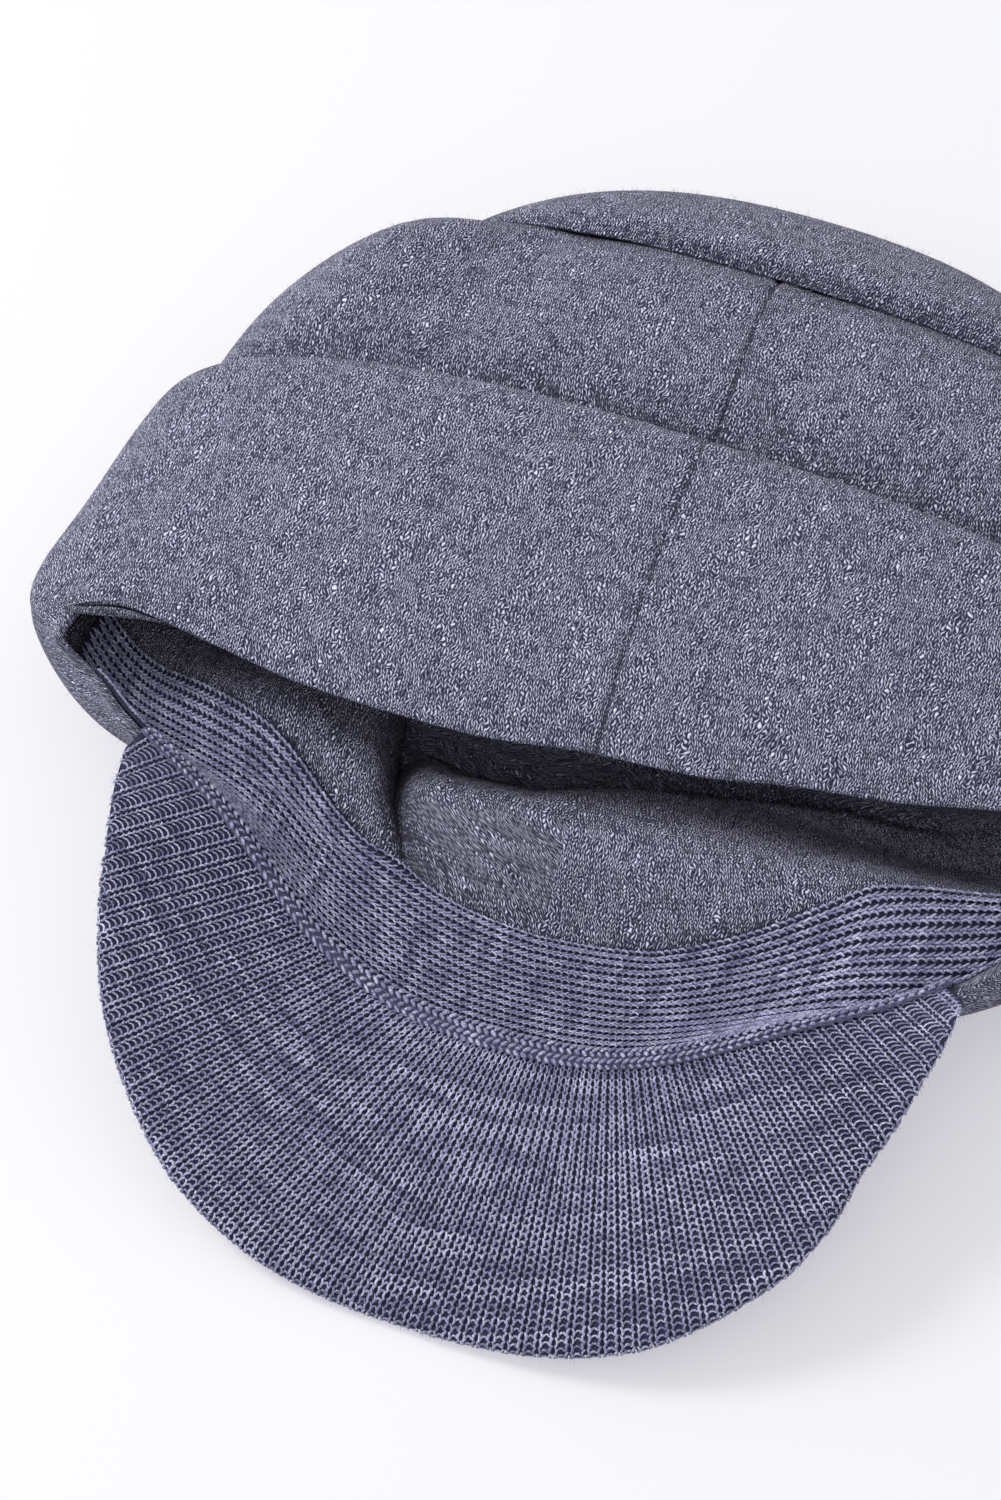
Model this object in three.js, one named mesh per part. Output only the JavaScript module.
// A knit cap with a peak, folded flat on its front: the peak's underside is up,
// the opening faces -Y and the back of the wall lies on top in one deep pleat.
// Units are millimetres. X runs across the cap, Y from the peak's tip to the crown, Z up.

import * as THREE from 'three';
import { LoftGeometry } from 'three/addons/geometries/LoftGeometry.js';
import { mergeVertices } from 'three/addons/utils/BufferGeometryUtils.js';

// Sizes of the folded wall and the top
const capWidth = 262;
const crownReach = 190;
const stackHeight = 62;
const wallThickness = 2.6;
const sewingGap = 0.3;

// Sizes of the peak and of the arc that it is sewn to
const peakWidth = 184;
const peakReach = 98;
const peakThickness = 4.2;
const peakSkew = 2.6;
const cornerWidth = 2.4;
const rootSag = 35;
const rootLift = 14;

// Sizes of the tape inside the front, and of the linked seam at the peak's root
const tapeWidth = 30;
const tapeThickness = 1.8;
const trimLift = 0.5;
const tapeSpan = 232;
const seamWidth = 4.4;
const seamHeight = 1.9;

// Facets: stations round the cap and along the peak
const aroundSteps = 64;
const ringSteps = [3, 3, 2, 2, 2, 2, 1, 2, 2, 2, 2, 2];
const panelRows = 8;
const peakSteps = 44;
const peakRows = [0, 0.2, 0.4, 0.6, 0.8, 0.95, 1];

// Rings round the wall, from the rim to the top seam. "wide" is a share of half the
// cap's width, "Along" of the crown's reach and "High" of the stack's height. "skew"
// moves the right side along and the left side back. Powers shape the front half.
const ringColumns = [
  'wide', 'shift', 'backAlong', 'backHigh', 'sideAlong', 'sideHigh',
  'frontAlong', 'frontHigh', 'skew', 'frontBow', 'frontDip',
];
const rimFront = [-rootSag / crownReach, rootLift / stackHeight];
const wallRings = [
  [0.965, 0.000, 0.130, 0.74, 0.155, 0.64, ...rimFront, 0.092, 1.9, 5.0],
  [0.985, 0.000, 0.160, 0.81, 0.185, 0.52, -0.100, 0.17, 0.075, 1.3, 1.8],
  [0.990, 0.000, 0.280, 0.92, 0.280, 0.48, 0.040, 0.10, 0.040, 1.1, 1.1],
  [0.968, 0.000, 0.430, 0.99, 0.370, 0.50, 0.160, -0.06, 0.010, 1.0, 1.0],
  [0.945, 0.000, 0.500, 0.985, 0.405, 0.53, 0.215, -0.08, 0.000, 1.0, 1.0],
  [0.935, 0.000, 0.518, 0.92, 0.420, 0.50, 0.245, -0.08, 0.000, 1.0, 1.0],
  [0.925, 0.000, 0.500, 0.86, 0.415, 0.46, 0.275, -0.08, 0.000, 1.0, 1.0],
  [0.915, 0.000, 0.440, 0.74, 0.400, 0.41, 0.310, -0.08, 0.000, 1.0, 1.0],
  [0.910, 0.000, 0.445, 0.69, 0.420, 0.39, 0.350, -0.08, 0.000, 1.0, 1.0],
  [0.910, 0.000, 0.520, 0.78, 0.490, 0.41, 0.400, -0.08, 0.000, 1.0, 1.0],
  [0.860, -0.005, 0.640, 0.88, 0.630, 0.42, 0.490, -0.08, 0.000, 1.0, 1.0],
  [0.745, -0.010, 0.760, 0.87, 0.755, 0.42, 0.580, -0.07, 0.000, 1.0, 1.0],
  [0.610, -0.010, 0.805, 0.79, 0.810, 0.41, 0.630, -0.05, 0.000, 1.0, 1.0],
];

// Rings of the top panel after the seam, in the same columns, closing to a point
const panelRings = [
  [0.580, 0.000, 0.828, 0.84, 0.835, 0.41, 0.665, -0.05, 0.000, 1.0, 1.0],
  [0.500, 0.010, 0.890, 0.77, 0.885, 0.42, 0.750, -0.06, 0.000, 1.0, 1.0],
  [0.370, 0.010, 0.945, 0.65, 0.940, 0.41, 0.850, 0.00, 0.000, 1.0, 1.0],
  [0.200, 0.005, 0.985, 0.50, 0.980, 0.38, 0.950, 0.16, 0.000, 1.0, 1.0],
];
const panelPole = [0.000, 0.000, 1.000, 0.34, 1.000, 0.34, 1.000, 0.34, 0.000, 1.0, 1.0];

// Dents and folds pressed into the wall: the angle round the cap from the centre back
// (left is positive), the share of the way from rim to top seam, the widths of the dent
// in those two directions, and how far it lifts, as a share of the stack's height.
const foldColumns = ['around', 'along', 'spreadAround', 'spreadAlong', 'lift'];
const wallFolds = [
  [192, 0.20, 24, 0.080, 0.15],
  [162, 0.20, 7, 0.100, -0.08],
  [52, 0.86, 13, 0.070, 0.08],
  [32, 0.90, 9, 0.090, -0.07],
  [-5, 0.86, 4, 0.120, -0.03],
];

// Powers of the ring's outline: above 1 is fuller at the corners
const cornerFullness = 1.18;
const backFullness = 0.8;
const edgeFullness = 0.85;

// The peak stops a share short of its corners, where it has lost a share of its thickness.
// Its thickness has turned upright a third of the way out, and its edge is rounded.
const endShare = 0.02;
const cornerThinning = 0.6;
const thinningPower = 4;
const uprightShare = 1 / 3;
const holdPower = 3;
const roundingShare = 0.25;

// Shares of a surface's length, or of a turn, that count as near when a direction is taken
const samplingShare = 0.004;
const nearShare = 0.01;

const degrees = Math.PI / 180;

function named(columns, row) {
  return Object.fromEntries(columns.map((column, i) => [column, row[i]]));
}

function power(base, exponent) {
  return Math.sign(base) * Math.abs(base) ** exponent;
}

// One point of a ring: angle 0 is the centre back and 90 degrees the left corner
function ringPoint(ring, angle) {
  const across = Math.sin(angle);
  const toBack = Math.cos(angle);
  const half = capWidth / 2;
  const backWeight = Math.max(toBack, 0) ** backFullness;
  const rise = toBack > 0 ? backWeight : 0;
  const bow = toBack < 0 ? (-toBack) ** ring.frontBow : 0;
  const dip = toBack < 0 ? (-toBack) ** ring.frontDip : 0;
  const along = ring.sideAlong - ring.skew * across * (1 - bow)
    + (ring.backAlong - ring.sideAlong) * rise
    + (ring.frontAlong - ring.sideAlong) * bow;
  const high = ring.sideHigh
    + (ring.backHigh - ring.sideHigh) * rise
    + (ring.frontHigh - ring.sideHigh) * dip;
  return new THREE.Vector3(
    half * (ring.shift - ring.wide * power(across, 1 / cornerFullness)),
    crownReach * along,
    stackHeight * high,
  );
}

function foldLift(angle, share) {
  let lift = 0;
  for (const row of wallFolds) {
    const fold = named(foldColumns, row);
    const turn = angle / degrees - fold.around;
    const apart = turn - 360 * Math.round(turn / 360);
    const nearAround = (apart / fold.spreadAround) ** 2;
    const nearAlong = ((share - fold.along) / fold.spreadAlong) ** 2;
    lift += fold.lift * stackHeight * Math.exp(-nearAround - nearAlong);
  }
  return lift;
}

// A surface lofted through rings, with the cloth flattened where it meets the ground
function loft(rings, lift) {
  const curves = new Map();
  return (angle, share) => {
    if (!curves.has(angle)) {
      const points = rings.map((ring) => ringPoint(ring, angle));
      curves.set(angle, new THREE.CatmullRomCurve3(points, false, 'centripetal'));
    }
    const point = curves.get(angle).getPoint(share);
    point.z = Math.max(0, point.z + lift(angle, share));
    return point;
  };
}

const wallTable = wallRings.map((row) => named(ringColumns, row));
const wallSurface = loft(wallTable, foldLift);

// The unit normal of a lofted surface, pointing out of the cap
function outward(surface, angle, share) {
  const low = Math.max(0, share - samplingShare);
  const high = Math.min(1, share + samplingShare);
  const onward = surface(angle, high).sub(surface(angle, low));
  const around = surface(angle + samplingShare, share).sub(surface(angle - samplingShare, share));
  return around.cross(onward).normalize().negate();
}

function wallPoint(angle, share, depth) {
  const point = wallSurface(angle, share);
  return point.addScaledVector(outward(wallSurface, angle, share), -depth);
}

// A closed body lofted through rings of points: doubled points become one, and the
// triangles that shrink to nothing at a pole are dropped.
function closedLoft(sections) {
  const loftSurface = new THREE.BufferGeometry().copy(new LoftGeometry(sections));
  loftSurface.deleteAttribute('normal');
  loftSurface.deleteAttribute('uv');
  const merged = mergeVertices(loftSurface, 1e-3);
  const corners = merged.index.array;
  const kept = [];
  for (let i = 0; i < corners.length; i += 3) {
    const [a, b, c] = [corners[i], corners[i + 1], corners[i + 2]];
    if (a !== b && b !== c && c !== a) kept.push(a, b, c);
  }
  merged.setIndex(kept);
  merged.computeVertexNormals();
  return merged;
}

// Closes both ends of a run of sections with a fan of facets about the section's middle
function withFlatEnds(sections) {
  const shrunk = (section) => {
    const centre = section.reduce((sum, point) => sum.add(point), new THREE.Vector3());
    centre.divideScalar(section.length);
    return section.map(() => centre);
  };
  return [shrunk(sections[0]), ...sections, shrunk(sections.at(-1))];
}

function knitMesh(name, geometry, colour) {
  const material = new THREE.MeshStandardMaterial({ color: colour, roughness: 0.95, metalness: 0 });
  const mesh = new THREE.Mesh(geometry, material);
  mesh.name = name;
  return mesh;
}

function evenly(count, pointAt) {
  return Array.from({ length: count }, (_, i) => pointAt(i / count));
}

// The shares of the way from rim to top seam at which the wall has a row of facets
const rowShares = [0];
ringSteps.forEach((steps, ring) => {
  for (let i = 1; i <= steps; i += 1) rowShares.push((ring + i / steps) / ringSteps.length);
});

const stationAngle = (station) => 2 * Math.PI * station / aroundSteps;
const facetRow = (share, depth) => evenly(aroundSteps, (t) => wallPoint(2 * Math.PI * t, share, depth));
const outerFacets = rowShares.map((share) => facetRow(share, 0));
const innerFacets = rowShares.map((share) => facetRow(share, wallThickness));

// The wall: rows along its inner face, then back along its outer face to the first row
function crownWall() {
  return closedLoft([...innerFacets, ...outerFacets.toReversed(), innerFacets[0]]);
}

// The top panel's surface carries on from the wall's last ring and closes to a pole
const panelTable = [
  wallTable.at(-1),
  ...panelRings.map((row) => named(ringColumns, row)),
  named(ringColumns, panelPole),
];
const panelSurface = loft(panelTable, () => 0);

// The direction in which the wall runs into the top seam
function seamwards(angle) {
  return wallSurface(angle, 1).sub(wallSurface(angle, 1 - nearShare)).normalize();
}

function panelRing(share, depth) {
  return evenly(aroundSteps, (t) => {
    const angle = 2 * Math.PI * t;
    if (share === 0) return wallPoint(angle, 1, depth).addScaledVector(seamwards(angle), sewingGap);
    const point = panelSurface(angle, share);
    return point.addScaledVector(outward(panelSurface, angle, share), -depth);
  });
}

// The top panel: from its pole out to one sewing gap from the wall, and back inside
function topPanel() {
  const pole = panelSurface(0, 1);
  const innerPole = pole.clone().add(new THREE.Vector3(0, -wallThickness, 0));
  const sections = [evenly(aroundSteps, () => pole)];
  for (let row = panelRows - 1; row >= 0; row -= 1) sections.push(panelRing(row / panelRows, 0));
  for (let row = 0; row < panelRows; row += 1) sections.push(panelRing(row / panelRows, wallThickness));
  sections.push(evenly(aroundSteps, () => innerPole));
  return closedLoft(sections);
}

// The angle round the rim at which it lies a given distance from the middle of the front
function rimAngle(x) {
  const rim = wallTable[0];
  const shareAcross = (rim.shift - x / (capWidth / 2)) / rim.wide;
  return Math.PI - Math.asin(power(shareAcross, cornerFullness));
}

// The peak's outer edge, from its left end (-1) to its right end (1): a rounded outline,
// a little askew, on a face that leans down to the tip and rises to both ends as a trough
function peakEdge(u) {
  const turn = u * Math.PI / 2;
  const side = u < 0 ? -1 : 1;
  const end = rimFrame(side * peakWidth / 2);
  const corner = end.inner.addScaledVector(end.forward, cornerWidth);
  const halfWidth = Math.abs(corner.x);
  const reach = Math.max(0, Math.cos(turn)) ** edgeFullness;
  const x = halfWidth * power(Math.sin(turn), edgeFullness) + peakSkew * Math.cos(turn);
  const y = corner.y - (peakReach + corner.y) * reach;
  const lean = (rootLift - peakThickness) / (peakReach - rootSag);
  const plane = (along) => peakThickness + lean * (along + peakReach);
  const z = plane(y) + (corner.z - plane(corner.y)) * (x / halfWidth) ** 2;
  return new THREE.Vector3(x, y, z);
}

// The wall's end at the rim, and the direction in which its end face looks
function rimFrame(x) {
  return rimFrameAt(rimAngle(x));
}

function rimFrameAt(angle) {
  const inner = wallPoint(angle, 0, wallThickness);
  const outer = wallPoint(angle, 0, 0);
  const deeper = wallPoint(angle, nearShare, wallThickness);
  const forward = inner.clone().sub(deeper).normalize();
  const thickness = outer.clone().sub(inner).normalize();
  return { inner, forward, thickness };
}

// The peak is sewn end to end with the wall. Its thickness lies in line with the wall's
// end face at the root and at both corners, and turns upright towards the outer edge.
function peak() {
  const sections = [];
  const drop = new THREE.Vector3(0, 0, -1);
  for (let i = 0; i <= peakSteps; i += 1) {
    const u = (-1 + 2 * i / peakSteps) * (1 - endShare);
    const { inner, forward, thickness } = rimFrame(peakWidth / 2 * u);
    const root = inner.addScaledVector(forward, sewingGap);
    const edge = peakEdge(u);
    const bodied = peakThickness * (1 - cornerThinning * u ** thinningPower);
    const hold = 1 - Math.abs(u) ** holdPower;
    const upper = [];
    const lower = [];
    for (const share of peakRows) {
      const upright = Math.min(1, share / uprightShare) * hold;
      const down = thickness.clone().lerp(drop, upright).normalize();
      const point = root.clone().lerp(edge, share);
      const rounding = share === 1 ? bodied * roundingShare : 0;
      upper.push(point.clone().addScaledVector(down, rounding));
      lower.unshift(point.addScaledVector(down, bodied - rounding));
    }
    sections.push([...upper, ...lower]);
  }
  return closedLoft(withFlatEnds(sections));
}

// The point a given distance behind the rim on the wall's inner facets at one station,
// lifted off them; a negative distance lies in front of the rim, over the peak
function facetPoint(station, behind, above) {
  const { inner, forward, thickness } = rimFrameAt(stationAngle(station));
  if (behind <= 0) return inner.addScaledVector(forward, -behind).addScaledVector(thickness, -above);
  let row = 0;
  let left = behind;
  let stride = innerFacets[1][station].distanceTo(innerFacets[0][station]);
  while (left > stride) {
    left -= stride;
    row += 1;
    stride = innerFacets[row + 1][station].distanceTo(innerFacets[row][station]);
  }
  const share = THREE.MathUtils.lerp(rowShares[row], rowShares[row + 1], left / stride);
  const point = innerFacets[row][station].clone().lerp(innerFacets[row + 1][station], left / stride);
  return point.addScaledVector(outward(wallSurface, stationAngle(station), share), -above);
}

// A flat strip inside the front, a given span wide: it runs from one distance to
// another behind the rim, and from one height to another above the wall's inner face
function frontStrip(span, from, to, low, high) {
  const middle = (from + to) / 2;
  const bevel = (high - low) / 3;
  const edge = (low + high) / 2;
  const section = [
    [from, edge], [from + bevel, high], [middle, high], [to - bevel, high],
    [to, edge], [to - bevel, low], [middle, low], [from + bevel, low],
  ];
  const sections = [];
  for (let station = 0; station < aroundSteps; station += 1) {
    const angle = stationAngle(station);
    const inFront = Math.cos(angle) < 0 && Math.abs(innerFacets[0][station].x) < span / 2;
    if (inFront) sections.unshift(section.map(([behind, above]) => facetPoint(station, behind, above)));
  }
  return closedLoft(withFlatEnds(sections));
}

function sweatband() {
  const start = seamWidth / 2 + sewingGap;
  return frontStrip(tapeSpan, start, start + tapeWidth, trimLift, trimLift + tapeThickness);
}

function rootSeam() {
  return frontStrip(peakWidth, -seamWidth / 2, seamWidth / 2, trimLift, trimLift + seamHeight);
}

const cap = new THREE.Group();
cap.add(knitMesh('crown_wall', crownWall(), 0x7b7b92));
cap.add(knitMesh('top_panel', topPanel(), 0x75758c));
cap.add(knitMesh('peak', peak(), 0x6e6d81));
cap.add(knitMesh('sweatband', sweatband(), 0x6c6b80));
cap.add(knitMesh('root_seam', rootSeam(), 0x6c6b80));

// The origin is under the middle of the folded cap, on the surface that it lies on
const extent = new THREE.Box3().setFromObject(cap);
const middle = extent.getCenter(new THREE.Vector3());
cap.position.set(-middle.x, -middle.y, -extent.min.z);

export default cap;
